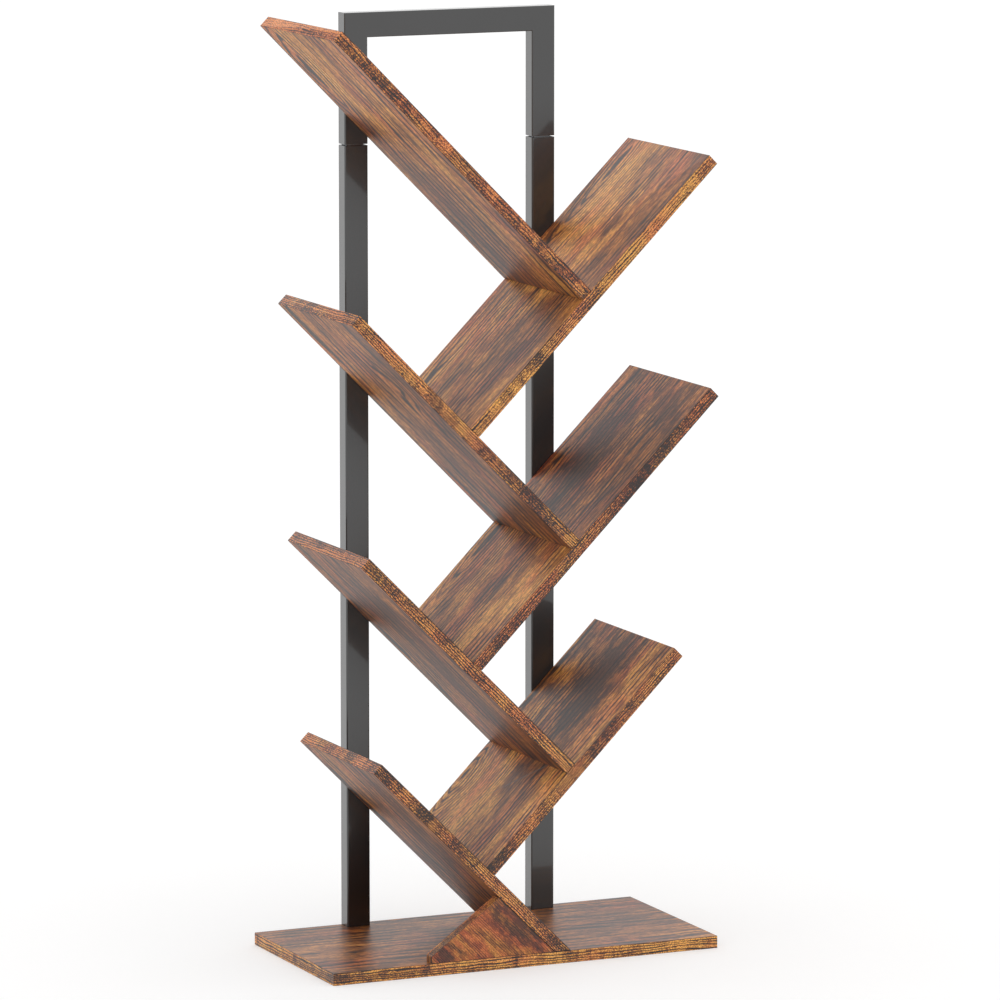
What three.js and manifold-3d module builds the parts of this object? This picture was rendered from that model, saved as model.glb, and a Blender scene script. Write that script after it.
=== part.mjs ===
// Tree shaped bookshelf of seven sloping boards on a flat base, carried by a steel tube frame behind.
// Millimetres, +Z up, the front faces -Y. The origin is on the floor, under the middle of the whole.

import * as THREE from 'three';
import { mergeVertices } from 'three/addons/utils/BufferGeometryUtils.js';
import Module from 'manifold-3d';

const wasm = await Module();
wasm.setup();

// Boards
const baseWidth = 500;
const baseDepth = 245;
const boardThickness = 15;

// Left shelves slope down to the right and right shelves down to the left, numbered from the top.
// A bolt height is where the middle of a shelf's thickness crosses the centre line of its post.
const leftShelf1Length = 446;
const leftShelf2Length = 396;
const leftShelf3Length = 373;
const leftShelf4Length = 345;
const leftShelf1BoltHeight = 996.5;
const leftShelf2BoltHeight = 687;
const leftShelf3BoltHeight = 413;
const leftShelf4BoltHeight = 183;
const rightShelf1Length = 435;
const rightShelf2Length = 435;
const rightShelf3Length = 346;
const rightShelf1BoltHeight = 834;
const rightShelf2BoltHeight = 553.5;
const rightShelf3BoltHeight = 290;

// Foot gusset
const gussetLength = 159.5;
const gussetHeight = 72;
const gussetTipHeight = 8.5;

// Steel frame
const totalHeight = 1120;
const frameWidth = 274;
const topFrameHeight = 156.5;
const seamSlit = 1.5;
const tubeWidth = 30;
const tubeDepth = 20;
const tubeWall = 1.2;
const tubeCornerRadius = 1.6;

// Stub of narrower tube inside each leg, across the slit, and its screws
const stubWidth = 23;
const stubDepth = 14;
const stubWall = 1.6;
const stubLength = 50;
const stubScrewSpacing = 25;
const stubScrewRadius = 2.5;
const stubScrewLength = 9;
const stubScrewHeadRadius = 4.5;
const stubScrewHeadHeight = 2.4;
const stubScrewSocketWidth = 3;

// Plug in the foot of each post, and the bolt that holds it to the base
const plugHeight = 20;
const footBoltRadius = 3;
const footBoltLength = 30;
const footBoltHeadRadius = 6;
const footBoltHeadHeight = 3.3;
const footBoltSocketWidth = 4;

// Bolt through the tube into each shelf, and the threaded insert that takes it
const shelfBoltRadius = 3;
const shelfBoltLength = 50;
const shelfBoltHeadRadius = 5.5;
const shelfBoltHeadHeight = 3;
const shelfBoltSocketWidth = 4;
const insertRadius = 4.6;
const insertLength = 15;

// Connecting screws, wood screws and dowels between the boards
const fixingInset = 45;
const connectorRadius = 3.2;
const connectorLength = 50;
const connectorHeadRadius = 5;
const connectorHeadHeight = 3.5;
const connectorSocketWidth = 4;
const woodScrewRadius = 2;
const woodScrewHeadRadius = 4;
const woodScrewHeadHeight = 2.4;
const woodScrewSocketWidth = 2.5;
const shelfScrewLength = 25;
const gussetScrewLength = 40;
const dowelRadius = 4;
const dowelLength = 30;
const dowelFaceDepth = 10;
const gussetDowelLength = 25;

// Small sizes that fasteners and joints share
const seatGap = 0.3;
const slideGap = 0.3;
const holeClearance = 0.3;
const headRecess = 0.5;
const cutterOverrun = 2;
const edgeChamfer = 0.6;

// Places as shares of the size that they follow
const shelfScrewPlaceShare = 0.14;
const gussetScrewPlaceShares = [0.3, 0.58];
const headRimShare = 0.35;
const headCrownShare = 0.6;
const socketDepthShare = 0.6;
const leastBoreRadiusShare = 0.25;

// Counts
const roundSides = 12;
const cornerSteps = 3;
const hexagonSides = 6;

// Places worked out from the sizes
const leanAngle = Math.PI / 4;
const quarterTurn = Math.PI / 2;
const lean = Math.SQRT1_2;
const wholeDepth = baseDepth + shelfBoltHeadHeight;
const frontY = -wholeDepth / 2;
const tubeBackY = frontY + baseDepth;
const tubeFrontY = tubeBackY - tubeDepth;
const tubeMiddleY = tubeBackY - tubeDepth / 2;
const postX = (frameWidth - tubeWidth) / 2;
const shelfDepth = tubeFrontY - frontY - seatGap;
const postTop = totalHeight - topFrameHeight - seamSlit;
const legBottom = totalHeight - topFrameHeight;
const slitHeight = (postTop + legBottom) / 2;

const laminate = new THREE.MeshStandardMaterial({ color: 0x7d4a2b, roughness: 0.55, metalness: 0 });
const powderCoat = new THREE.MeshStandardMaterial({ color: 0x2f2f31, roughness: 0.45, metalness: 0.3 });
const bareSteel = new THREE.MeshStandardMaterial({ color: 0x8d8f92, roughness: 0.4, metalness: 0.9 });
const zincPlate = new THREE.MeshStandardMaterial({ color: 0xb4b6b8, roughness: 0.3, metalness: 1 });
const blackBolt = new THREE.MeshStandardMaterial({ color: 0x1c1c1d, roughness: 0.4, metalness: 0.8 });
const beech = new THREE.MeshStandardMaterial({ color: 0xcfa679, roughness: 0.75, metalness: 0 });

// Joining and cutting

function solidOf(geometry) {
  const bare = geometry.clone();
  bare.deleteAttribute('normal');
  bare.deleteAttribute('uv');
  const merged = mergeVertices(bare);
  const corners = merged.index.array;
  const kept = [];
  for (let i = 0; i < corners.length; i += 3) {
    const [a, b, c] = corners.subarray(i, i + 3);
    if (a !== b && b !== c && c !== a) kept.push(a, b, c);
  }
  const mesh = new wasm.Mesh({
    numProp: 3,
    vertProperties: new Float32Array(merged.attributes.position.array),
    triVerts: new Uint32Array(kept),
  });
  return new wasm.Manifold(mesh);
}

function cut(geometry, cutter) {
  const mesh = solidOf(geometry).subtract(solidOf(cutter)).getMesh();
  const result = new THREE.BufferGeometry();
  result.setAttribute('position', new THREE.BufferAttribute(mesh.vertProperties, 3));
  result.setIndex(new THREE.BufferAttribute(mesh.triVerts, 1));
  return result;
}

// Cuts the hole for a fastener into each piece that the fastener passes through.
function drill(hole, fastener, pieces) {
  for (const piece of pieces) {
    const toPiece = piece.matrixWorld.clone().invert().multiply(fastener.matrixWorld);
    piece.geometry = cut(piece.geometry, hole.clone().applyMatrix4(toPiece));
  }
}

// Adds a named piece to a group, at a place and turned by angles about X, Y and Z.
function add(group, name, geometry, material, place = [0, 0, 0], turn = [0, 0, 0]) {
  const mesh = new THREE.Mesh(geometry, material);
  mesh.name = name;
  mesh.position.set(...place);
  mesh.rotation.set(...turn);
  group.add(mesh);
  mesh.updateWorldMatrix(true, false);
  return mesh;
}

// Shapes that pieces are made from

// A board with this outline in X and Z, from y = 0 back to its depth.
function plank(outline, depth) {
  const shape = new THREE.Shape(outline.map(([x, z]) => new THREE.Vector2(x, z)));
  const geometry = new THREE.ExtrudeGeometry(shape, { depth, bevelEnabled: false });
  return geometry.rotateX(quarterTurn).translate(0, depth, 0);
}

// The outline of a tube's wall, with rounded corners, in X and Y about its middle.
function roundedLoop(path, width, depth, radius) {
  const x = width / 2 - radius;
  const y = depth / 2 - radius;
  path.moveTo(x, -depth / 2);
  path.absarc(x, -y, radius, -quarterTurn, 0, false);
  path.absarc(x, y, radius, 0, quarterTurn, false);
  path.absarc(-x, y, radius, quarterTurn, 2 * quarterTurn, false);
  path.absarc(-x, -y, radius, 2 * quarterTurn, 3 * quarterTurn, false);
  path.closePath();
  return path;
}

// A tube's cross section, with a bore whose corners are rounded less than the outside.
function tubeSection(width, depth, wall, radius) {
  const section = roundedLoop(new THREE.Shape(), width, depth, radius);
  const boreRadius = Math.max(radius - wall, radius * leastBoreRadiusShare);
  const bore = roundedLoop(new THREE.Path(), width - 2 * wall, depth - 2 * wall, boreRadius);
  section.holes.push(bore);
  return section;
}

// A straight tube that stands on z = 0.
function tube(width, depth, wall, radius, length) {
  const section = tubeSection(width, depth, wall, radius);
  return new THREE.ExtrudeGeometry(section, {
    depth: length,
    bevelEnabled: false,
    curveSegments: cornerSteps,
  });
}

// A solid turned round the Y axis. Each ring is a radius and a height, from the tip to the head.
function turning(rings) {
  const profile = rings.map(([radius, height]) => new THREE.Vector2(radius, height));
  return new THREE.LatheGeometry(profile, roundSides);
}

// Cuts a hexagon socket into the head of a fastener whose head ends at this height.
function socketed(geometry, height, width, depth) {
  const cornerRadius = width / 2 / Math.cos(Math.PI / hexagonSides);
  const length = depth + cutterOverrun;
  const socket = new THREE.CylinderGeometry(cornerRadius, cornerRadius, length, hexagonSides);
  socket.translate(0, height - depth + length / 2, 0);
  return cut(geometry, socket);
}

// A bolt with a low domed head. Its tip is at 0 and its length ends under the head.
function domedBolt(radius, length, headRadius, headHeight, socketWidth) {
  const top = length + headHeight;
  const body = turning([
    [0, 0],
    [radius - edgeChamfer, 0],
    [radius, edgeChamfer],
    [radius, length],
    [headRadius, length],
    [headRadius, length + headHeight * headRimShare],
    [headRadius * headCrownShare, top],
    [0, top],
  ]);
  return socketed(body, top, socketWidth, headHeight * socketDepthShare);
}

// The hole for a domed bolt, which runs out past the face under its head.
function boltHole(radius, length) {
  const wide = radius + holeClearance;
  return turning([
    [0, -holeClearance],
    [wide, -holeClearance],
    [wide, length + cutterOverrun],
    [0, length + cutterOverrun],
  ]);
}

// A screw or bolt with a countersunk head. Its tip is at 0 and its length ends at the head's top.
function flatScrew(radius, length, headRadius, headHeight, socketWidth) {
  const body = turning([
    [0, 0],
    [radius - edgeChamfer, 0],
    [radius, edgeChamfer],
    [radius, length - headHeight],
    [headRadius, length],
    [0, length],
  ]);
  return socketed(body, length, socketWidth, headHeight * socketDepthShare);
}

function flatScrewHole(radius, length, headRadius, headHeight) {
  const wide = radius + holeClearance;
  const headWide = headRadius + holeClearance;
  return turning([
    [0, -holeClearance],
    [wide, -holeClearance],
    [wide, length - headHeight],
    [headWide, length],
    [headWide, length + headRecess + cutterOverrun],
    [0, length + headRecess + cutterOverrun],
  ]);
}

function dowel(length) {
  return turning([
    [0, 0],
    [dowelRadius - edgeChamfer, 0],
    [dowelRadius, edgeChamfer],
    [dowelRadius, length - edgeChamfer],
    [dowelRadius - edgeChamfer, length],
    [0, length],
  ]);
}

function dowelHole(length) {
  const wide = dowelRadius + holeClearance;
  return turning([
    [0, -holeClearance],
    [wide, -holeClearance],
    [wide, length + holeClearance],
    [0, length + holeClearance],
  ]);
}

// Base and steel frame

function makeBase(bookshelf) {
  const half = baseWidth / 2;
  const outline = [[-half, 0], [half, 0], [half, boardThickness], [-half, boardThickness]];
  return add(bookshelf, 'base_board', plank(outline, baseDepth), laminate, [0, frontY, 0]);
}

function makePost(bookshelf, side) {
  const length = postTop - boardThickness;
  const geometry = tube(tubeWidth, tubeDepth, tubeWall, tubeCornerRadius, length);
  const place = [side.sign * postX, tubeMiddleY, boardThickness];
  return add(bookshelf, `${side.name}_post`, geometry, powderCoat, place);
}

// One tube bent into a U with mitred corners: a straight tube of four rings, whose rings are set
// at the left foot, the left corner, the right corner and the right foot.
function makeTopFrame(bookshelf) {
  const section = tubeSection(tubeWidth, tubeDepth, tubeWall, tubeCornerRadius);
  const lastRing = 3;
  const geometry = new THREE.ExtrudeGeometry(section, {
    depth: lastRing,
    steps: lastRing,
    bevelEnabled: false,
    curveSegments: cornerSteps,
  });
  const position = geometry.attributes.position;
  const barHeight = totalHeight - tubeWidth / 2;
  for (let i = 0; i < position.count; i += 1) {
    const outward = position.getX(i);
    const ring = Math.round(position.getZ(i));
    const onLeft = ring < lastRing / 2;
    const atFoot = ring === 0 || ring === lastRing;
    const x = onLeft ? -postX - outward : postX + outward;
    const z = atFoot ? legBottom : barHeight + outward;
    position.setXYZ(i, x, -position.getY(i), z);
  }
  return add(bookshelf, 'top_frame', geometry, powderCoat, [0, tubeMiddleY, 0]);
}

// The stub that joins a post to the top frame's leg, drawn to the back wall by two screws.
function makeStub(bookshelf, side, post, topFrame) {
  const geometry = tube(stubWidth, stubDepth, stubWall, tubeCornerRadius, stubLength);
  const stubY = tubeBackY - tubeWall - slideGap - stubDepth / 2;
  const place = [side.sign * postX, stubY, slitHeight - stubLength / 2];
  const stub = add(bookshelf, `${side.name}_joint_stub`, geometry, bareSteel, place);
  const hole = boltHole(stubScrewRadius, stubScrewLength);
  const ends = [
    { name: 'upper', sign: 1, tube: topFrame },
    { name: 'lower', sign: -1, tube: post },
  ];
  for (const end of ends) {
    const height = slitHeight + end.sign * stubScrewSpacing / 2;
    const screw = add(
      bookshelf,
      `${side.name}_joint_screw_${end.name}`,
      domedBolt(
        stubScrewRadius,
        stubScrewLength,
        stubScrewHeadRadius,
        stubScrewHeadHeight,
        stubScrewSocketWidth,
      ),
      blackBolt,
      [side.sign * postX, tubeBackY - stubScrewLength, height],
    );
    drill(hole, screw, [stub, end.tube]);
  }
}

// The plug in the foot of a post, and the bolt that comes up into it through the base.
function makeFoot(bookshelf, side, base) {
  const width = tubeWidth - 2 * (tubeWall + slideGap);
  const depth = tubeDepth - 2 * (tubeWall + slideGap);
  const block = new THREE.BoxGeometry(width, depth, plugHeight);
  const plugPlace = [side.sign * postX, tubeMiddleY, boardThickness + plugHeight / 2];
  const plug = add(bookshelf, `${side.name}_post_foot_plug`, block, bareSteel, plugPlace);
  const bolt = add(
    bookshelf,
    `${side.name}_foot_bolt`,
    flatScrew(
      footBoltRadius,
      footBoltLength,
      footBoltHeadRadius,
      footBoltHeadHeight,
      footBoltSocketWidth,
    ),
    zincPlate,
    [side.sign * postX, tubeMiddleY, headRecess + footBoltLength],
    [-quarterTurn, 0, 0],
  );
  const hole = flatScrewHole(footBoltRadius, footBoltLength, footBoltHeadRadius, footBoltHeadHeight);
  drill(hole, bolt, [base, plug]);
}

// Shelves

// Where the middles of a left and a right shelf's thickness cross. Both lean at 45 degrees, so
// x + z is the same all along a left shelf, and z - x all along a right one.
function crossing(left, right) {
  const sum = left.boltHeight - postX;
  const difference = right.boltHeight - postX;
  return { x: (sum - difference) / 2, z: (sum + difference) / 2 };
}

// A left shelf. Its group's X runs down along it, from the free end to the lower end at x = 0,
// and the lower end is square, or flat on the base on the lowest one.
function makeLeftShelf(bookshelf, left, right) {
  const half = boardThickness / 2;
  const group = new THREE.Group();
  let mitre = 0;
  if (right) {
    const cross = crossing(left, right);
    const lift = (half + seatGap) * lean;
    group.position.set(cross.x - lift, frontY, cross.z + lift);
  } else {
    const footHeight = boardThickness + seatGap;
    group.position.set(left.boltHeight - postX - footHeight, frontY, footHeight);
    mitre = half;
  }
  group.rotation.y = leanAngle;
  bookshelf.add(group);
  const freeEnd = mitre - left.length;
  const outline = [[freeEnd, -half], [-mitre, -half], [mitre, half], [freeEnd, half]];
  const shelf = add(group, `left_shelf_${left.number}`, plank(outline, shelfDepth), laminate);
  return { group, shelf };
}

// A right shelf. Its group's X runs up along it, from the lower end at x = 0 to the free end.
function makeRightShelf(bookshelf, right, nextLeft) {
  const half = boardThickness / 2;
  const cross = crossing(nextLeft, right);
  const lift = (half + seatGap) * lean;
  const group = new THREE.Group();
  group.position.set(cross.x + lift, frontY, cross.z + lift);
  group.rotation.y = -leanAngle;
  bookshelf.add(group);
  const outline = [[0, -half], [right.length, -half], [right.length, half], [0, half]];
  const shelf = add(group, `right_shelf_${right.number}`, plank(outline, shelfDepth), laminate);
  return { group, shelf };
}

// The bolt from behind through the tube into a shelf's back edge, and its threaded insert.
function boltShelf(bookshelf, side, number, height, tubePiece, shelf) {
  const x = side.sign * postX;
  const insertPlace = [x, frontY + shelfDepth - headRecess - insertLength, height];
  const bore = shelfBoltRadius + holeClearance;
  const insert = add(
    bookshelf,
    `${side.name}_shelf_insert_${number}`,
    turning([[bore, 0], [insertRadius, 0], [insertRadius, insertLength], [bore, insertLength], [bore, 0]]),
    zincPlate,
    insertPlace,
  );
  const bolt = add(
    bookshelf,
    `${side.name}_shelf_bolt_${number}`,
    domedBolt(
      shelfBoltRadius,
      shelfBoltLength,
      shelfBoltHeadRadius,
      shelfBoltHeadHeight,
      shelfBoltSocketWidth,
    ),
    blackBolt,
    [x, tubeBackY - shelfBoltLength, height],
  );
  drill(boltHole(insertRadius, insertLength + headRecess), insert, [shelf]);
  drill(boltHole(shelfBoltRadius, shelfBoltLength), bolt, [shelf, tubePiece]);
}

// The front and the rear place of a pair of fixings, measured back from a shelf's front edge.
const fixingPair = [
  { name: 'front', y: fixingInset },
  { name: 'rear', y: shelfDepth - fixingInset },
];

// Two connecting screws through a right shelf, from its underside, into a left shelf's lower end.
function screwShelves(rightParts, leftParts, right, left) {
  const cross = crossing(left, right);
  const along = (cross.x - rightParts.group.position.x) / lean;
  const hole = flatScrewHole(
    connectorRadius,
    connectorLength,
    connectorHeadRadius,
    connectorHeadHeight,
  );
  for (const fixing of fixingPair) {
    const screw = add(
      rightParts.group,
      `connecting_screw_${right.number}_${fixing.name}`,
      flatScrew(
        connectorRadius,
        connectorLength,
        connectorHeadRadius,
        connectorHeadHeight,
        connectorSocketWidth,
      ),
      zincPlate,
      [along, fixing.y, headRecess + connectorLength - boardThickness / 2],
      [-quarterTurn, 0, 0],
    );
    drill(hole, screw, [rightParts.shelf, leftParts.shelf]);
  }
}

// Two dowels between a right shelf's lower end and the top of the left shelf that it stands on.
function dowelShelves(rightParts, leftParts, right) {
  for (const fixing of fixingPair) {
    const peg = add(
      rightParts.group,
      `dowel_${right.number}_${fixing.name}`,
      dowel(dowelLength),
      beech,
      [-seatGap - dowelFaceDepth, fixing.y, 0],
      [0, 0, -quarterTurn],
    );
    drill(dowelHole(dowelLength), peg, [rightParts.shelf, leftParts.shelf]);
  }
}

// Two screws up through the base into the flat foot of the lowest left shelf.
function screwLowestShelf(bookshelf, base, leftParts) {
  const footWidth = boardThickness / lean;
  const nearEdge = leftParts.group.position.x - footWidth / 2;
  const hole = flatScrewHole(
    woodScrewRadius,
    shelfScrewLength,
    woodScrewHeadRadius,
    woodScrewHeadHeight,
  );
  for (const fixing of fixingPair) {
    const screw = add(
      bookshelf,
      `base_screw_${fixing.name}`,
      flatScrew(
        woodScrewRadius,
        shelfScrewLength,
        woodScrewHeadRadius,
        woodScrewHeadHeight,
        woodScrewSocketWidth,
      ),
      zincPlate,
      [nearEdge + footWidth * shelfScrewPlaceShare, frontY + fixing.y, headRecess + shelfScrewLength],
      [-quarterTurn, 0, 0],
    );
    drill(hole, screw, [base, leftParts.shelf]);
  }
}

// The triangular board under the lowest left shelf, flush with the front, its screws and its dowel.
function makeGusset(bookshelf, base, lowest) {
  const footWidth = boardThickness / lean;
  const cornerX = lowest.group.position.x - footWidth / 2 - seatGap;
  const outline = [
    [0, 0],
    [-gussetHeight, gussetHeight],
    [-gussetLength, gussetTipHeight],
    [-gussetLength, 0],
  ];
  const place = [cornerX, frontY, boardThickness];
  const gusset = add(bookshelf, 'foot_gusset', plank(outline, boardThickness), laminate, place);
  const hole = flatScrewHole(
    woodScrewRadius,
    gussetScrewLength,
    woodScrewHeadRadius,
    woodScrewHeadHeight,
  );
  const middleY = frontY + boardThickness / 2;
  gussetScrewPlaceShares.forEach((share, index) => {
    const screw = add(
      bookshelf,
      `gusset_screw_${index + 1}`,
      flatScrew(
        woodScrewRadius,
        gussetScrewLength,
        woodScrewHeadRadius,
        woodScrewHeadHeight,
        woodScrewSocketWidth,
      ),
      zincPlate,
      [cornerX - gussetLength * (1 - share), middleY, headRecess + gussetScrewLength],
      [-quarterTurn, 0, 0],
    );
    drill(hole, screw, [base, gusset]);
  });
  const seatX = cornerX - gussetHeight / 2;
  const seatZ = boardThickness + gussetHeight / 2;
  const inGusset = (gussetDowelLength - dowelFaceDepth) * lean;
  const peg = add(
    bookshelf,
    'gusset_dowel',
    dowel(gussetDowelLength),
    beech,
    [seatX - inGusset, middleY, seatZ - inGusset],
    [quarterTurn, leanAngle, 0, 'YXZ'],
  );
  drill(dowelHole(gussetDowelLength), peg, [gusset, lowest.shelf]);
}

// The whole bookshelf

const leftShelves = [
  { number: 1, length: leftShelf1Length, boltHeight: leftShelf1BoltHeight },
  { number: 2, length: leftShelf2Length, boltHeight: leftShelf2BoltHeight },
  { number: 3, length: leftShelf3Length, boltHeight: leftShelf3BoltHeight },
  { number: 4, length: leftShelf4Length, boltHeight: leftShelf4BoltHeight },
];
const rightShelves = [
  { number: 1, length: rightShelf1Length, boltHeight: rightShelf1BoltHeight },
  { number: 2, length: rightShelf2Length, boltHeight: rightShelf2BoltHeight },
  { number: 3, length: rightShelf3Length, boltHeight: rightShelf3BoltHeight },
];
const leftSide = { name: 'left', sign: -1 };
const rightSide = { name: 'right', sign: 1 };

const bookshelf = new THREE.Group();
const base = makeBase(bookshelf);
const topFrame = makeTopFrame(bookshelf);
const leftPost = makePost(bookshelf, leftSide);
const rightPost = makePost(bookshelf, rightSide);
makeStub(bookshelf, leftSide, leftPost, topFrame);
makeStub(bookshelf, rightSide, rightPost, topFrame);
makeFoot(bookshelf, leftSide, base);
makeFoot(bookshelf, rightSide, base);

const leftParts = leftShelves.map((left, i) => makeLeftShelf(bookshelf, left, rightShelves[i]));
const rightParts = rightShelves.map((right, i) => makeRightShelf(bookshelf, right, leftShelves[i + 1]));

leftShelves.forEach((left, i) => {
  const tubePiece = left.boltHeight > slitHeight ? topFrame : leftPost;
  boltShelf(bookshelf, leftSide, left.number, left.boltHeight, tubePiece, leftParts[i].shelf);
});
rightShelves.forEach((right, i) => {
  const tubePiece = right.boltHeight > slitHeight ? topFrame : rightPost;
  boltShelf(bookshelf, rightSide, right.number, right.boltHeight, tubePiece, rightParts[i].shelf);
  screwShelves(rightParts[i], leftParts[i], right, leftShelves[i]);
  dowelShelves(rightParts[i], leftParts[i + 1], right);
});

const lowest = leftParts[leftParts.length - 1];
screwLowestShelf(bookshelf, base, lowest);
makeGusset(bookshelf, base, lowest);

export default bookshelf;
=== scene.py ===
# Tree shaped bookshelf: seven sloping boards of wood-grain laminate on a flat base board, carried by
# a dark powder-coated steel frame. Metres, +Z up, and the front faces -Y.

from math import pi, radians, sqrt

import bpy
import numpy as np
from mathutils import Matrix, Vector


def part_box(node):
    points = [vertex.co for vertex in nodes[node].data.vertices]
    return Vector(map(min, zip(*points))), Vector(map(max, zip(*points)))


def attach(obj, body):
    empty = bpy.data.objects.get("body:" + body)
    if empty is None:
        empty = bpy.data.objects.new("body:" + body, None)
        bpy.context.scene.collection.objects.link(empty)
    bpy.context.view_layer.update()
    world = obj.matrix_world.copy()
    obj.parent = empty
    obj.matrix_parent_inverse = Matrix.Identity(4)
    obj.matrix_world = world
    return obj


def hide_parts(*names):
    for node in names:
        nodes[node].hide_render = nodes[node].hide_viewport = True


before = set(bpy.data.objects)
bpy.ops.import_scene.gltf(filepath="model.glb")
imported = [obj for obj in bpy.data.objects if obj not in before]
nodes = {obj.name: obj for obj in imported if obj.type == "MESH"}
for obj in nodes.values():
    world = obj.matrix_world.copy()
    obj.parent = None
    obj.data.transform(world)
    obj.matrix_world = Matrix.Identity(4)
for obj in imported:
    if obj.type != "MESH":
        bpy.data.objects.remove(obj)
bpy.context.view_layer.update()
mm = 0.001

# Camera
# It stands in front and to the left, a little above the middle of the bookshelf, and so far away
# that the boards look nearly parallel.
camera_place = (-3.275, -7.325, 1.794)
camera_yaw = radians(24.216)
camera_pitch = radians(8.863)
focal_length_mm = 245.6
sensor_width_mm = 36

camera_data = bpy.data.cameras.new("camera")
camera_data.sensor_width = sensor_width_mm
camera_data.lens = focal_length_mm
camera = bpy.data.objects.new("camera", camera_data)
camera.location = camera_place
camera.rotation_euler = (pi / 2 - camera_pitch, 0, -camera_yaw)
bpy.context.scene.collection.objects.link(camera)
bpy.context.scene.camera = camera

# Boards
# Each board is 15 mm chipboard with a printed rustic brown wood paper pressed on both faces under a
# satin melamine film, and a printed edge band glued round its four edges. The base lies on the
# floor, the shelves lean at 45 degrees, and the gusset stands upright under the lowest one.
board_thickness = 15 * mm
arris_radius = 0.6 * mm
lean = radians(45)

# How far the growth lines swing and ripple, in line spacings, and how close they come to a corner
# as they pass the heart of the tree
line_warp = 2.4
line_ripple = 1.1
band_line_warp = 3.0
heart_softness = 6 * mm

# How far each part of the figure lifts or sinks the wood's value, which is 0 dark and 1 light, and
# how dark the ground between the growth lines gets at most
patch_depth = 0.1
stroke_depth = 0.3
arris_depth = 0.4
ground_floor = 0.24

# How much the pores darken and lighten the colour, as a share of it
face_speckle = 0.29
band_speckle = 0.5

# The film's relief and its gloss on the edge band. IOR 1.55 is that of melamine resin.
emboss_depth = 0.2 * mm
band_roughness = 0.36
melamine_ior = 1.55

# Where a noise turns into a patch, a stroke, a pore, a red tone, and a zone with growth lines
patch_range = (0.47, 0.53)
stroke_range = (0.52, 0.66)
pore_range = (0.38, 0.62)
redness_range = (0.46, 0.74)
# How much redder the painted highlight on a board's short ends makes them, for each unit of it
painted_end_light_redness = 0.6
line_zone_range = (0.43, 0.6)
band_line_zone_range = (0.4, 0.56)
faint_line = 0.1

# A growth line is the top of a wave above this height, and a line on the band has a lighter halo.
line_ridge_foot = 0.1
band_line_halo = -0.3

# A mark fades from its middle as this number to the square of the distance, and noise makes its
# border ragged by this many times its size. It goes right through the board.
fade_base = 0.37
mark_raggedness = 3.0
bar_raggedness = 2.0
endless = 1e3

# How squarely a surface must look along the board, or through it, to be its end, its face or the
# eased arris between face and edge
end_facing = 0.9
face_facing = 0.8
arris_facing = 0.5
arris_facing_reach = 0.45

# How fast the figure changes through the board, per metre, and from the faces to the edge band
cut_change = 40.0
band_seed_step = 5.0

# Each noise: its name, its length and width in mm, its detail, its roughness and its weight. The
# real print's pores and lines are a few tenths of a millimetre wide. The finest noises here are 1
# to 5 mm, and the lines lie 3 to 17 mm apart, which is as coarse as they need to be to show.
face_layers = (
    ("cloud", 220, 75, 1, 0.5, 1.3),
    ("stain", 42, 15, 7, 0.68, 0.2),
    ("stroke", 90, 3.2, 2, 0.6, 0.0),
    ("grain", 60, 2.2, 2, 0.6, 0.6),
    ("pore", 4.5, 1.9, 1, 0.5, 0.0),
    ("warp", 240, 70, 2, 0.5, 0.0),
    ("ripple", 50, 14, 3, 0.6, 0.0),
    ("fading", 110, 26, 4, 0.65, 0.0),
    ("hue", 90, 30, 2, 0.4, 0.0),
)
edge_layers = (
    ("cloud", 110, 24, 3, 0.5, 1.8),
    ("stain", 13, 30, 4, 0.65, 0.7),
    ("stroke", 14, 1.6, 2, 0.6, 0.0),
    ("burl", 2.6, 1.4, 2, 0.7, 4.8),
    ("pore", 1.5, 1.2, 1, 0.5, 0.0),
    ("warp", 90, 12, 2, 0.5, 0.0),
    ("fading", 50, 20, 2, 0.5, 0.0),
    ("hue", 60, 30, 2, 0.5, 0.0),
)

# The wood's colours from dark to light, each in its golden and its reddish tone
value_stops = (0.0, 0.33, 0.66, 1.0)
wood_colours = (
    ("271c18", "271a18"),
    ("64391f", "6a321f"),
    ("ac6a2d", "b0582e"),
    ("e6a650", "e08b4d"),
)


def linear(code):
    """Turns an sRGB hex colour into linear red, green, blue and alpha."""
    parts = [int(code[i:i + 2], 16) / 255 for i in (0, 2, 4)]
    return [p / 12.92 if p <= 0.04045 else ((p + 0.055) / 1.055) ** 2.4 for p in parts] + [1]


def wire(tree, kind, inputs, out=0, **settings):
    """Adds one shader node with its settings and input values or links, and returns one output.

    A node without outputs is returned itself.
    """
    made = tree.nodes.new("ShaderNode" + kind)
    for name, value in settings.items():
        setattr(made, name, value)
    for key, value in inputs.items():
        if isinstance(value, bpy.types.NodeSocket):
            tree.links.new(value, made.inputs[key])
        else:
            made.inputs[key].default_value = value
    return made.outputs[out] if made.outputs else made


def blank_material(name):
    """Returns a new material and its emptied node tree."""
    material = bpy.data.materials.new(name)
    material.use_nodes = True
    material.node_tree.nodes.clear()
    return material, material.node_tree


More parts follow.
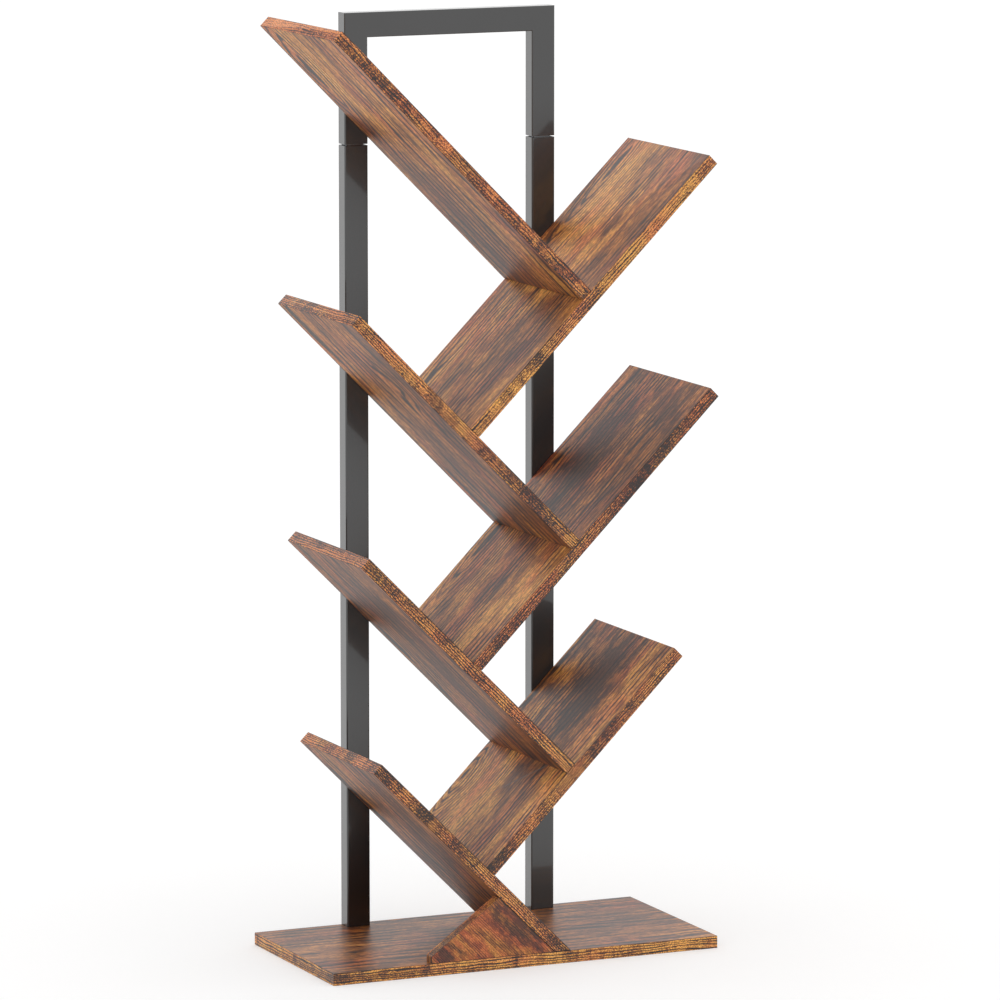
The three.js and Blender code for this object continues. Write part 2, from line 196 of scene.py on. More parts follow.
def laminate(
    name, corner, turn,
    seed, scale, roughness, contrast, shade, rust, heart, spacing, depth, marks,
    band, painted_end_light, burl, blotch, band_lines, bars,
):
    """Printed melamine board: a satin film over brown wood paper whose figure runs along the board.

    The figure is drawn in the board's own frame, which starts at the corner and is rotated by the
    turn: along, across and through the board. It is one value from dark to light. On a face it is
    a weighted sum of noises stretched along the board, ragged patches where one noise passes its
    middle, thin strokes where another one peaks, and thin dark growth lines. These are level lines
    of the distance from the heart of the tree, bent by noise, and come and go in zones. A mark is
    a soft oval hill that lifts or sinks the value and closes the growth lines into knots. On the
    edges the value is a sum of finer noises, darker or lighter bars, and close wavy lines, laid
    along the distance run round the board. Another noise and the rust turn the value's colours
    gold or red, and pores speckle the colour.
    """
    material, tree = blank_material("laminate_" + name)
    coordinate = wire(tree, "TexCoord", {}, out="Object")
    board = wire(tree, "Mapping", {0: coordinate, 1: corner, 2: turn}, vector_type="TEXTURE")
    along, across, through = wire(tree, "SeparateXYZ", {0: board}).node.outputs

    # The two faces carry different cuts of the paper, because the noise changes through the board.
    cut = wire(tree, "Math", {0: through, 1: cut_change, 2: seed}, operation="MULTIPLY_ADD")
    sheet = wire(tree, "CombineXYZ", {0: along, 1: across, 2: cut})
    run = wire(tree, "Math", {0: along, 1: across}, operation="ADD")
    strip = wire(tree, "CombineXYZ", {0: run, 1: through, 2: seed + band_seed_step})

    values = {}
    noises = {}
    face_shares = {"cloud": contrast, "stain": contrast, "grain": contrast}
    edge_shares = {"burl": burl, "stain": blotch}
    for surface, place, middle, enlarged, shares, layers in (
        ("face", sheet, shade, scale, face_shares, face_layers),
        ("edge", strip, band, 1.0, edge_shares, edge_layers),
    ):
        value = middle
        for key, length, width, detail, rough, weight in layers:
            size = (length * enlarged * mm, width * enlarged * mm, 1.0)
            scaled = wire(tree, "VectorMath", {0: place, 1: size}, operation="DIVIDE")
            settings = {"Vector": scaled, "Scale": 1.0, "Detail": detail, "Roughness": rough}
            noise = wire(tree, "TexNoise", settings)
            noises[surface, key] = noise
            if weight:
                centred = wire(tree, "Math", {0: noise, 1: 0.5}, operation="SUBTRACT")
                share = shares.get(key, 1.0)
                inputs = {0: centred, 1: weight * share, 2: value}
                value = wire(tree, "Math", inputs, operation="MULTIPLY_ADD")
        low, high = patch_range
        inputs = {0: noises[surface, "stain"], 1: low, 2: high, 3: -patch_depth, 4: patch_depth}
        patches = wire(tree, "MapRange", inputs)
        value = wire(tree, "Math", {0: value, 1: patches}, operation="ADD")
        low, high = stroke_range
        inputs = {0: noises[surface, "stroke"], 1: low, 2: high, 3: 0.0, 4: 1.0}
        strokes = wire(tree, "MapRange", inputs, interpolation_type="SMOOTHSTEP")
        inputs = {0: strokes, 1: -stroke_depth, 2: value}
        values[surface] = wire(tree, "Math", inputs, operation="MULTIPLY_ADD")

    # Growth lines and marks on the faces
    from_heart = wire(tree, "Math", {0: across, 1: heart * mm}, operation="SUBTRACT")
    inputs = {0: from_heart, 1: from_heart, 2: heart_softness**2}
    from_heart = wire(tree, "Math", inputs, operation="MULTIPLY_ADD")
    from_heart = wire(tree, "Math", {0: from_heart}, operation="SQRT")
    is_upper = wire(tree, "Math", {0: through, 1: board_thickness / 2}, operation="GREATER_THAN")
    gap = wire(tree, "Mix", {0: is_upper, 2: spacing[0] * mm, 3: spacing[1] * mm})
    level = wire(tree, "Math", {0: from_heart, 1: gap}, operation="DIVIDE")
    for key, bend in (("warp", line_warp), ("ripple", line_ripple)):
        inputs = {0: noises["face", key], 1: bend, 2: level}
        level = wire(tree, "Math", inputs, operation="MULTIPLY_ADD")
    low, high = line_zone_range
    inputs = {0: noises["face", "fading"], 1: low, 2: high, 3: faint_line, 4: 1.0}
    presence = wire(tree, "MapRange", inputs, interpolation_type="SMOOTHSTEP")
    inputs = {0: noises["face", "stain"], 1: mark_raggedness, 2: -mark_raggedness / 2}
    ragged = wire(tree, "Math", inputs, operation="MULTIPLY_ADD")
    for mark_along, mark_across, length, width, lift, loops in marks:
        middle = (mark_along * mm, mark_across * mm, 0)
        size = (length * mm, width * mm, endless)
        offset = wire(tree, "VectorMath", {0: board, 1: middle}, operation="SUBTRACT")
        shrunk = wire(tree, "VectorMath", {0: offset, 1: size}, operation="DIVIDE")
        distance = wire(tree, "VectorMath", {0: shrunk}, out=1, operation="LENGTH")
        if not loops:
            distance = wire(tree, "Math", {0: distance, 1: ragged}, operation="ADD")
            distance = wire(tree, "Math", {0: distance, 1: 0.0}, operation="MAXIMUM")
        squared = wire(tree, "Math", {0: distance, 1: 2.0}, operation="POWER")
        hill = wire(tree, "Math", {0: fade_base, 1: squared}, operation="POWER")
        inputs = {0: hill, 1: lift, 2: values["face"]}
        values["face"] = wire(tree, "Math", inputs, operation="MULTIPLY_ADD")
        if loops:
            level = wire(tree, "Math", {0: hill, 1: -loops, 2: level}, operation="MULTIPLY_ADD")
            presence = wire(tree, "Math", {0: hill, 1: presence}, operation="MAXIMUM")
    turns = wire(tree, "Math", {0: level, 1: 2 * pi}, operation="MULTIPLY")
    wave = wire(tree, "Math", {0: turns}, operation="SINE")
    inputs = {0: wave, 1: line_ridge_foot, 2: 1.0, 3: 0.0, 4: 1.0}
    ridge = wire(tree, "MapRange", inputs, interpolation_type="SMOOTHSTEP")
    growth = wire(tree, "Math", {0: ridge, 1: presence}, operation="MULTIPLY")
    ground = wire(tree, "Math", {0: values["face"], 1: ground_floor}, operation="MAXIMUM")
    sinking = wire(tree, "Mix", {0: is_upper, 2: -depth[0], 3: -depth[1]})
    inputs = {0: growth, 1: sinking, 2: ground}
    values["face"] = wire(tree, "Math", inputs, operation="MULTIPLY_ADD")

    # Darker and lighter lengths of the edge band, and the close lines on it
    for middle, length, lift in bars:
        offset = wire(tree, "Math", {0: run, 1: middle * mm}, operation="SUBTRACT")
        shrunk = wire(tree, "Math", {0: offset, 1: length * mm}, operation="DIVIDE")
        inputs = {0: noises["edge", "stain"], 1: bar_raggedness, 2: shrunk}
        shrunk = wire(tree, "Math", inputs, operation="MULTIPLY_ADD")
        shrunk = wire(tree, "Math", {0: shrunk, 1: bar_raggedness / 2}, operation="SUBTRACT")
        squared = wire(tree, "Math", {0: shrunk, 1: shrunk}, operation="MULTIPLY")
        hill = wire(tree, "Math", {0: fade_base, 1: squared}, operation="POWER")
        inputs = {0: hill, 1: lift, 2: values["edge"]}
        values["edge"] = wire(tree, "Math", inputs, operation="MULTIPLY_ADD")
    band_gap, band_depth, band_faint_line = band_lines
    level = wire(tree, "Math", {0: through, 1: band_gap * mm}, operation="DIVIDE")
    inputs = {0: noises["edge", "warp"], 1: band_line_warp, 2: level}
    level = wire(tree, "Math", inputs, operation="MULTIPLY_ADD")
    turns = wire(tree, "Math", {0: level, 1: 2 * pi}, operation="MULTIPLY")
    wave = wire(tree, "Math", {0: turns}, operation="SINE")
    low, high = band_line_zone_range
    inputs = {0: noises["edge", "fading"], 1: low, 2: high, 3: band_faint_line, 4: 1.0}
    presence = wire(tree, "MapRange", inputs, interpolation_type="SMOOTHSTEP")
    inputs = {0: wave, 1: 0.0, 2: 1.0, 3: band_line_halo, 4: 1.0}
    ridge = wire(tree, "MapRange", inputs, interpolation_type="SMOOTHSTEP")
    swing = wire(tree, "Math", {0: ridge, 1: presence}, operation="MULTIPLY")
    inputs = {0: swing, 1: -band_depth, 2: values["edge"]}
    values["edge"] = wire(tree, "Math", inputs, operation="MULTIPLY_ADD")

    # The face paper shows where the surface looks along the board's thickness. A painted highlight
    # makes the band paler and redder on the two short ends, and a fine dark line runs along each
    # arris, where the two papers end.
    normal = wire(tree, "TexCoord", {}, out="Normal")
    looks = wire(tree, "Mapping", {0: normal, 2: turn}, vector_type="TEXTURE")
    looks_along, _, looks_through = wire(tree, "SeparateXYZ", {0: looks}).node.outputs
    endwise = wire(tree, "Math", {0: looks_along}, operation="ABSOLUTE")
    is_end = wire(tree, "Math", {0: endwise, 1: end_facing}, operation="GREATER_THAN")
    # Painted highlight: the band's value is lifted on the two short ends.
    inputs = {0: is_end, 1: painted_end_light, 2: values["edge"]}
    values["edge"] = wire(tree, "Math", inputs, operation="MULTIPLY_ADD")
    flatness = wire(tree, "Math", {0: looks_through}, operation="ABSOLUTE")
    is_face = wire(tree, "Math", {0: flatness, 1: face_facing}, operation="GREATER_THAN")
    value = wire(tree, "Mix", {0: is_face, 2: values["edge"], 3: values["face"]})
    inputs = {0: flatness, 1: arris_facing, 2: arris_facing_reach}
    on_arris = wire(tree, "Math", inputs, operation="COMPARE")
    value = wire(tree, "Math", {0: on_arris, 1: -arris_depth, 2: value}, operation="MULTIPLY_ADD")

    # Value to colour
    mixed = {}
    for key in ("hue", "pore"):
        inputs = {0: is_face, 2: noises["edge", key], 3: noises["face", key]}
        mixed[key] = wire(tree, "Mix", inputs)
    # The painted highlight on the short ends also turns them redder.
    inputs = {0: is_end, 1: painted_end_light_redness * painted_end_light, 2: mixed["hue"]}
    redness = wire(tree, "Math", inputs, operation="MULTIPLY_ADD")
    offset = wire(tree, "Mix", {0: is_face, 2: rust[1], 3: rust[0]})
    redness = wire(tree, "Math", {0: redness, 1: offset}, operation="ADD")
    low, high = redness_range
    redness = wire(tree, "MapRange", {0: redness, 1: low, 2: high, 3: 0.0, 4: 1.0})
    colour = None
    for i, (gold, red) in enumerate(wood_colours):
        inputs = {0: redness, 6: linear(gold), 7: linear(red)}
        stage = wire(tree, "Mix", inputs, out=2, data_type="RGBA")
        if i:
            inputs = {0: value, 1: value_stops[i - 1], 2: value_stops[i], 3: 0.0, 4: 1.0}
            share = wire(tree, "MapRange", inputs)
            stage = wire(tree, "Mix", {0: share, 6: colour, 7: stage}, out=2, data_type="RGBA")
        colour = stage
    low, high = pore_range
    inputs = {0: mixed["pore"], 1: low, 2: high, 3: 1.0, 4: -1.0}
    pores = wire(tree, "MapRange", inputs, interpolation_type="SMOOTHSTEP")
    share = wire(tree, "Mix", {0: is_face, 2: band_speckle, 3: face_speckle})
    speckle = wire(tree, "Math", {0: pores, 1: share, 2: 1.0}, operation="MULTIPLY_ADD")
    colour = wire(tree, "VectorMath", {0: colour, "Scale": speckle}, operation="SCALE")

    relief = wire(tree, "Math", {0: value, 1: speckle}, operation="ADD")
    bump = wire(tree, "Bump", {"Strength": 0.5, "Distance": emboss_depth, "Height": relief})
    gloss = wire(tree, "Mix", {0: is_face, 2: band_roughness, 3: roughness})
    inputs = {
        "Base Color": colour,
        "Roughness": gloss,
        "IOR": melamine_ior,
        "Normal": bump,
    }
    shader = wire(tree, "BsdfPrincipled", inputs)
    wire(tree, "OutputMaterial", {0: shader})
    return material


def dress(name, material):
    """Gives a CAD piece its material."""
    mesh = nodes[name].data
    mesh.materials.clear()
    mesh.materials.append(material)


def finish_board(name, corner, turn, figure):
    """Rounds a board's arrises slightly and gives it its laminate."""
    board = nodes[name]
    weld = board.modifiers.new("weld", "WELD")
    weld.merge_threshold = 0.01 * mm
    arris = board.modifiers.new("arris", "BEVEL")
    arris.width = arris_radius
    arris.segments = 2
    arris.limit_method = "ANGLE"
    arris.angle_limit = radians(40)
    dress(name, laminate(name, corner, turn, **figure))


# Each board's own cut of the paper. For its faces: the noise's seed and scale, the film's
# roughness, how strong the figure is, how light it is, how much redder the faces and the band are,
# how far the heart line lies from the front edge in mm, the growth lines' spacing in mm and depth
# on the lower and the upper face, and its marks. A mark is its place along and across and its half
# length and half width in mm, how much lighter it is, and how many growth lines close round it.
# For its edge band: how light it is and how strong the painted highlight on its short ends is, the
# strength of the burl and of the blotches, its lines' spacing in mm, depth and least strength, and
# its bars. A bar is the run of its middle and its half length in mm, and how much lighter it is.
left_cut = {
    "scale": 1.5,
    "roughness": 0.5,
    "contrast": 0.82,
    "spacing": (17, 9),
    "depth": (0.95, 0.55),
}
right_cut = {
    "scale": 1.0,
    "roughness": 0.38,
    "contrast": 0.82,
    "spacing": (8.5, 8.5),
    "depth": (0.6, 0.8),
}
figures = {
    "base_board": {
        "seed": 0.0, "scale": 1.3, "roughness": 0.38, "contrast": 0.35,
        "shade": 0.54, "rust": (-0.05, -0.02), "heart": 290,
        "spacing": (10, 15), "depth": (0.6, 0.62),
        "marks": (),
        "band": 0.63, "painted_end_light": 0.0, "burl": 0.4, "blotch": 0.6, "band_lines": (3.2, 1.15, 0.5),
        "bars": ((118, 9, -0.25), (235, 4, -0.3)),
    },
    "foot_gusset": {
        "seed": 11.0, "scale": 0.35, "roughness": 0.4, "contrast": 0.2,
        "shade": 0.71, "rust": (0.13, 0.12), "heart": -60,
        "spacing": (2.4, 2.4), "depth": (0.38, 0.38),
        "marks": ((6, 18, 20, 14, -0.55, 0), (50, 104, 60, 16, -0.4, 0)),
        "band": 0.72, "painted_end_light": 0.1, "burl": 0.6, "blotch": 1.0, "band_lines": (2.6, 1.0, 0.5),
        "bars": (),
    },
    "left_shelf_1": {
        **left_cut,
        "seed": 21.0,
        "shade": 0.64, "rust": (0.0, 0.12), "heart": 190,
        "marks": (
            (60, 150, 90, 40, 0.22, 0),
            (70, 200, 90, 60, 0.0, 3.0),
            (175, 63, 45, 7, -0.4, 0),
            (330, 120, 90, 50, 0.0, 0.01),
        ),
        "band": 0.47, "painted_end_light": 0.62, "burl": 0.72, "blotch": 1.7, "band_lines": (3.6, 0.7, 0.1),
        "bars": ((65, 40, -0.15), (170, 25, 0.15), (338, 26, -0.25), (405, 25, 0.1)),
    },
    "left_shelf_2": {
        **left_cut,
        "seed": 22.0,
        "shade": 0.58, "rust": (0.0, 0.12), "heart": 200,
        "marks": (
            (60, 160, 80, 32, 0.18, 0),
            (118, 60, 40, 30, 0.1, 1.6),
            (230, 110, 70, 35, -0.1, 0),
        ),
        "band": 0.53, "painted_end_light": 0.12, "burl": 0.95, "blotch": 1.9, "band_lines": (2.6, 1.25, 0.45),
        "bars": (
            (40, 45, 0.2),
            (150, 4, -0.3),
            (196, 18, 0.25),
            (224, 10, -0.2),
            (330, 60, -0.3),
        ),
    },
    "left_shelf_3": {
        **left_cut,
        "seed": 23.0,
        "shade": 0.52, "rust": (0.0, 0.12), "heart": 205,
        "marks": (
            (200, 140, 60, 16, 0.16, 0),
            (190, 200, 90, 50, 0.0, 2.0),
            (90, 100, 60, 40, -0.1, 0),
        ),
        "band": 0.52, "painted_end_light": 0.3, "burl": 1.1, "blotch": 0.8, "band_lines": (2.9, 1.4, 0.45),
        "bars": ((50, 12, -0.15), (210, 22, -0.15)),
    },
    "left_shelf_4": {
        **left_cut,
        "seed": 24.0,
        "shade": 0.52, "rust": (0.0, 0.1), "heart": 205,
        "marks": ((130, 22, 90, 18, 0.2, 0), (170, 90, 70, 30, -0.15, 0)),
        "band": 0.48, "painted_end_light": 0.22, "burl": 0.95, "blotch": 1.1, "band_lines": (2.6, 1.25, 0.45),
        "bars": (
            (12, 26, -0.45),
            (50, 12, 0.15),
            (88, 20, -0.4),
            (162, 8, -0.2),
            (250, 80, 0.15),
        ),
    },
    "right_shelf_1": {
        **right_cut,
        "seed": 31.0,
        "shade": 0.76, "rust": (0.0, 0.06), "heart": 197,
        "marks": (
            (330, 165, 90, 28, 0.25, 0),
            (400, 200, 110, 60, 0.05, 4.0),
            (300, 82, 34, 6, -0.45, 0),
            (400, 95, 70, 22, -0.15, 0),
            (110, 200, 110, 26, 0.0, 0.8),
            (150, 110, 90, 26, -0.15, 0),
        ),
        "band": 0.82, "painted_end_light": 0.1, "burl": 1.05, "blotch": 2.0, "band_lines": (3.2, 1.2, 0.4),
        "bars": ((116, 11, -0.35),),
    },
    "right_shelf_2": {
        **right_cut,
        "seed": 32.0,
        "shade": 0.72, "rust": (0.0, 0.2), "heart": 204,
        "marks": (
            (75, 150, 30, 26, 0.2, 0),
            (150, 206, 90, 60, 0.0, 3.5),
            (100, 95, 60, 22, -0.2, 0),
            (130, 30, 70, 25, 0.2, 0),
            (330, 125, 130, 90, -0.3, 0),
            (265, 130, 45, 60, 0.0, 0.01),
        ),
        "band": 0.12, "painted_end_light": 0.1, "burl": 1.1, "blotch": 0.5, "band_lines": (2.6, 1.0, 0.4),
        "bars": ((400, 50, 0.2),),
    },
    "right_shelf_3": {
        **right_cut,
        "seed": 33.0,
        "shade": 0.85, "rust": (0.0, 0.12), "heart": 216,
        "marks": (
            (92, 222, 60, 70, 0.1, 5.0),
            (60, 150, 55, 22, 0.2, 0),
            (115, 108, 24, 12, -0.35, 0),
            (280, 115, 100, 80, -0.62, 0),
            (225, 130, 45, 60, 0.0, 0.01),
            (290, 40, 80, 20, 0.25, 0),
        ),
        "band": 0.36, "painted_end_light": 0.1, "burl": 1.1, "blotch": 1.0, "band_lines": (2.6, 1.25, 0.45),
        "bars": ((8, 25, -0.3), (125, 40, 0.2), (188, 12, -0.15)),
    },
}

# Where each board's own frame starts, and how it is turned. A leaning board's corner lies one
# offset away from the corner of its box.
corner_offset = board_thickness / sqrt(2)
for name, figure in figures.items():
    low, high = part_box(name)
    if name.startswith("left"):
        finish_board(name, (low.x, low.y, high.z - corner_offset), (0, lean, 0), figure)
    elif name.startswith("right"):
        finish_board(name, (low.x + corner_offset, low.y, low.z), (0, -lean, 0), figure)
    elif name == "foot_gusset":
        finish_board(name, (low.x, high.y, low.z), (pi / 2, lean, 0), figure)
    else:
        finish_board(name, low, (0, 0, 0), figure)

# Steel frame
# Square-cornered steel tube in a dark grey powder coat: a U with mitred and welded corners on top,
# and two straight posts below it. The sawn ends were eased before coating, and the coat is baked on
# and leaves a smooth, half glossy skin with a faint ripple.
tube_wall = 1.2 * mm
tube_corner = 1.6 * mm
sawn_ease = 0.3 * mm
flat_margin = 0.15 * mm
corner_steps = 8
ease_steps = 3
sharp_angle = radians(35)
peel_size = 1.4 * mm
peel_depth = 0.1 * mm
coat_cloud_size = 60 * mm


def rings_mesh(name, rings, looped):
    """Makes a closed piece from rings of points, with a belt of quads from each ring to the next.

    A ring runs anticlockwise when the next one lies nearer the eye, which makes the faces look
    outwards. Looped joins the last ring to the first. Otherwise the first and the last ring are one
    point each, and the rings next to them are closed by fans of triangles.
    """
    rings = np.asarray(rings)
    count, around = rings.shape[:2]
    if looped:
        points = rings.reshape(-1, 3)
        starts = [i * around for i in range(count)] + [0]
    else:
        points = np.vstack([rings[0, :1], rings[1:-1].reshape(-1, 3), rings[-1, :1]])
        starts = [1 + i * around for i in range(count - 2)]
    this = np.arange(around)
    after = (this + 1) % around
    faces = []
    for here, there in zip(starts, starts[1:]):
        quads = (here + this, here + after, there + after, there + this)
        faces += np.stack(quads, 1).tolist()
    if not looped:
        first_fan = (np.full(around, 0), starts[0] + after, starts[0] + this)
        last_fan = (starts[-1] + this, starts[-1] + after, np.full(around, len(points) - 1))
        faces += np.stack(first_fan, 1).tolist() + np.stack(last_fan, 1).tolist()
    mesh = bpy.data.meshes.new(name)
    mesh.from_pydata(points.tolist(), [], faces)
    mesh.shade_smooth()
    mesh.set_sharp_from_angle(angle=sharp_angle)
    piece = bpy.data.objects.new(name, mesh)
    bpy.context.scene.collection.objects.link(piece)
    return piece


def stand_for(piece, node, material):
    """Gives a piece its material and puts it in a CAD node's place."""
    piece.data.materials.append(material)
    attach(piece, "root")
    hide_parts(node)


def tube_section(half_width, half_depth, inset):
    """Points (a, b) of a rounded rectangle, inset from the tube's outside, anticlockwise.

    Corner q is an arc about its own centre, and a point just beyond each of its ends keeps the flat
    sides flat under smooth shading.
    """
    radius = tube_corner - inset
    section = []
    for quarter in range(4):
        start = quarter * pi / 2
        towards = np.sign([np.cos(start + pi / 4), np.sin(start + pi / 4)])
        centre = towards * (np.array([half_width, half_depth]) - tube_corner)
        angles = start + np.linspace(0, pi / 2, corner_steps + 1)
        arc = centre + radius * np.stack([np.cos(angles), np.sin(angles)], 1)
        along_start = np.array([-np.sin(start), np.cos(start)])
        along_end = np.array([-np.cos(start), -np.sin(start)])
        section.append(arc[0] - flat_margin * along_start)
        section.extend(arc)
        section.append(arc[-1] + flat_margin * along_end)
    return np.array(section)


def hollow_tube(name, half_width, half_depth, path):
    """Sweeps the tube's wall along a path: out over the outside, and back through the bore.

    A path stop is its middle, the direction that the section's a axis takes there, and the
    direction of travel. b is always +Y. At a mitre the a axis is the sum of both legs' own.
    """
    turns = np.linspace(0, pi / 2, ease_steps + 1)
    outer = [(sawn_ease * (1 - np.cos(t)), sawn_ease * (1 - np.sin(t))) for t in turns]
    inner = [(tube_wall - inset, back) for inset, back in reversed(outer)]
    lead = sawn_ease + flat_margin
    lip = [(0.0, lead)] + outer + inner + [(tube_wall, lead)]
    stops = [(0, inset, back) for inset, back in reversed(lip)]
    stops += [(i, 0.0, 0.0) for i in range(1, len(path) - 1)]
    stops += [(len(path) - 1, inset, -back) for inset, back in lip]
    stops += [(i, tube_wall, 0.0) for i in range(len(path) - 2, 0, -1)]
    rings = []
    for index, inset, shift in stops:
        middle, axis, travel = (np.array(v, float) for v in path[index])
        section = tube_section(half_width, half_depth, inset)
        ring = middle + shift * travel + section[:, :1] * axis + section[:, 1:] * np.array([0, 1, 0])
        rings.append(ring)
    return rings_mesh(name, rings, True)


def powder_coat():
    """Baked polyester powder: dark grey and half glossy, with a faint orange peel of 1 to 2 mm.

    The clear top of the coat mirrors the boards near it, and the pigment under it is duller.
    """
    material, tree = blank_material("powder_coat")
    place = wire(tree, "TexCoord", {}, out="Object")
    peel = wire(tree, "TexNoise", {"Vector": place, "Scale": 1 / peel_size, "Detail": 2})
    cloud = wire(tree, "TexNoise", {"Vector": place, "Scale": 1 / coat_cloud_size, "Detail": 3})
    tone = wire(tree, "MapRange", {0: cloud, 1: 0.3, 2: 0.7, 3: 0.0, 4: 1.0})
    inputs = {0: tone, 6: linear("161616"), 7: linear("1a1a1b")}
    colour = wire(tree, "Mix", inputs, out=2, data_type="RGBA")
    bump = wire(tree, "Bump", {"Strength": 0.05, "Distance": peel_depth, "Height": peel})
    inputs = {
        "Base Color": colour,
        "Roughness": 0.28,
        "IOR": 1.5,
        "Specular IOR Level": 0.66,
        "Coat Weight": 1.0,
        "Coat Roughness": 0.06,
        "Normal": bump,
    }
    shader = wire(tree, "BsdfPrincipled", inputs)
    wire(tree, "OutputMaterial", {0: shader})
    return material


coat = powder_coat()
up = np.array([0, 0, 1])
right = np.array([1, 0, 0])
for name in ("left_post", "right_post"):
    low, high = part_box(name)
    middle = (low + high) / 2
    half_width = (high.x - low.x) / 2
    half_depth = (high.y - low.y) / 2
    foot = (middle.x, middle.y, low.z)
    head = (middle.x, middle.y, high.z)
    post = hollow_tube(name + "_tube", half_width, half_depth, [(foot, right, up), (head, right, up)])
    stand_for(post, name, coat)

# The top frame is of the same tube as the right post and stands in the same plane.
low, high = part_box("top_frame")
leg = high.x - half_width
rail = high.z - half_width
bend = [
    ((-leg, middle.y, low.z), right, up),
    ((-leg, middle.y, rail), right - up, up),
    ((leg, middle.y, rail), -right - up, right),
    ((leg, middle.y, low.z), -right, -up),
]
u_frame = hollow_tube("top_frame_tube", half_width, half_depth, bend)
stand_for(u_frame, "top_frame", coat)

# Bolts and screws
# Black button-head bolts hold the shelves and the joint stubs from behind. Bright zinc countersunk
# screws join the boards and hold the base from below. All are turned steel with a hexagon socket
# pressed into the head and a rolled thread on the shank.
around_head = 36
thread_depth_share = 0.12
thread_steps = 4
socket_depth_share = 0.62
rim_ease_share = 0.06
dome_steps = 10
dome_share = 0.9
dome_rim_share = 0.62
head_foot_share = 0.99
tip_chamfer_share = 0.3
plating_blotch = 2.5 * mm
tool_grain = 0.3 * mm
tool_mark_depth = 0.02 * mm
gloss_spread = 0.15


def axis_of(node):
    """The middle of a turned node's head, and its direction from the head to the tip.

    The direction is the one in which the node's points spread most, and the head is the end that
    reaches farther from that line.
    """
    mesh = nodes[node].data
    points = np.empty(len(mesh.vertices) * 3)
    mesh.vertices.foreach_get("co", points)
    points = points.reshape(-1, 3)
    low, high = points.min(0), points.max(0)
    middle = points.mean(0)
    spread = points - middle
    direction = np.linalg.svd(spread, full_matrices=False)[2][0]
    heights = spread @ direction
    reach = np.linalg.norm(spread - heights[:, None] * direction, axis=1)
    if heights[reach.argmax()] > 0:
        direction, heights = -direction, -heights
    return middle + heights.min() * direction, direction, np.ptp(heights)


def turned(name, node, outline, pitch, threads_from, material):
    """Turns an outline of (depth below the head's top, radius, is hexagon) about the node's axis.

    A hexagon row's radius is half its width across flats. Between threads_from and the last row
    but two, the shank carries a helical thread: its radius rises and falls once per pitch, and the
    crest moves round with the angle.
    """
    top, direction, length = axis_of(node)
    side = np.cross(direction, [0, 1, 0] if abs(direction[1]) < 0.9 else [1, 0, 0])
    side /= np.linalg.norm(side)
    other = np.cross(direction, side)
    angles = np.arange(around_head) * 2 * pi / around_head
    ray = np.cos(angles)[:, None] * side + np.sin(angles)[:, None] * other
    sixth = pi / 3
    to_flat = 1 / np.cos((angles + sixth / 2) % sixth - sixth / 2)
    rings = []
    for depth, radius, hexagon in outline:
        reach = radius * (to_flat if hexagon else np.ones(around_head))
        rings.append(top + depth * direction + reach[:, None] * ray)
    shank = outline[-3][1]
    for step in range(int((outline[-3][0] - threads_from) / pitch * thread_steps)):
        depth = threads_from + step * pitch / thread_steps
        turn = (depth / pitch - angles / (2 * pi)) % 1
        reach = shank * (1 - thread_depth_share * np.abs(2 * turn - 1))
        rings.insert(-3, top + depth * direction + reach[:, None] * ray)
    piece = rings_mesh(name, rings, False)
    stand_for(piece, node, material)


def socket_rows(half_width, depth):
    """The floor and the eased rim of a hexagon socket."""
    ease = half_width * rim_ease_share
    return [
        (depth, 0.0, False),
        (depth, half_width, True),
        (ease, half_width, True),
        (0.0, half_width + ease, True),
    ]


def tip_rows(length, radius):
    """The chamfered end of a shank."""
    chamfer = radius * tip_chamfer_share
    return [
        (length - chamfer, radius, False),
        (length, radius - chamfer, False),
        (length, 0.0, False),
    ]


def button_outline(radius, length, head_radius, head_height, socket_width):
    """A domed head, a quarter of an ellipse in section, over a plain shank."""
    rows = socket_rows(socket_width / 2, head_height * socket_depth_share)
    rim = socket_width * dome_rim_share
    first = np.arccos(rim / head_radius)
    for t in np.linspace(first, 0, dome_steps):
        drop = head_height * dome_share * (1 - np.sin(t) / np.sin(first))
        rows.append((drop, head_radius * np.cos(t), False))
    rows.append((head_height, head_radius * head_foot_share, False))
    rows.append((head_height, radius, False))
    return rows + tip_rows(head_height + length, radius)


def countersunk_outline(radius, length, head_radius, head_height, socket_width):
    """A flat head that narrows to the shank over its own height."""
    rows = socket_rows(socket_width / 2, head_height * socket_depth_share)
    rim = head_radius * rim_ease_share
    rows.append((0.0, head_radius - rim, False))
    rows.append((rim, head_radius, False))
    rows.append((3 * rim, head_radius, False))
    rows.append((head_height, radius, False))
    return rows + tip_rows(length, radius)


def plated_steel(name, dark, light, roughness):
    """Turned steel under a thin finish: a little blotchy, with a fine grain left by the tool."""
    material, tree = blank_material(name)
    place = wire(tree, "TexCoord", {}, out="Object")
    blotch = wire(tree, "TexNoise", {"Vector": place, "Scale": 1 / plating_blotch, "Detail": 4})
    fine = wire(tree, "TexNoise", {"Vector": place, "Scale": 1 / tool_grain, "Detail": 2})
    tone = wire(tree, "MapRange", {0: blotch, 1: 0.35, 2: 0.65, 3: 0.0, 4: 1.0})
    inputs = {0: tone, 6: linear(dark), 7: linear(light)}
    colour = wire(tree, "Mix", inputs, out=2, data_type="RGBA")
    dull, bright = roughness * (1 + gloss_spread), roughness * (1 - gloss_spread)
    inputs = {0: blotch, 1: 0.3, 2: 0.7, 3: bright, 4: dull}
    gloss = wire(tree, "MapRange", inputs)
    bump = wire(tree, "Bump", {"Strength": 0.15, "Distance": tool_mark_depth, "Height": fine})
    inputs = {"Base Color": colour, "Metallic": 1.0, "Roughness": gloss, "Normal": bump}
    shader = wire(tree, "BsdfPrincipled", inputs)
    wire(tree, "OutputMaterial", {0: shader})
    return material


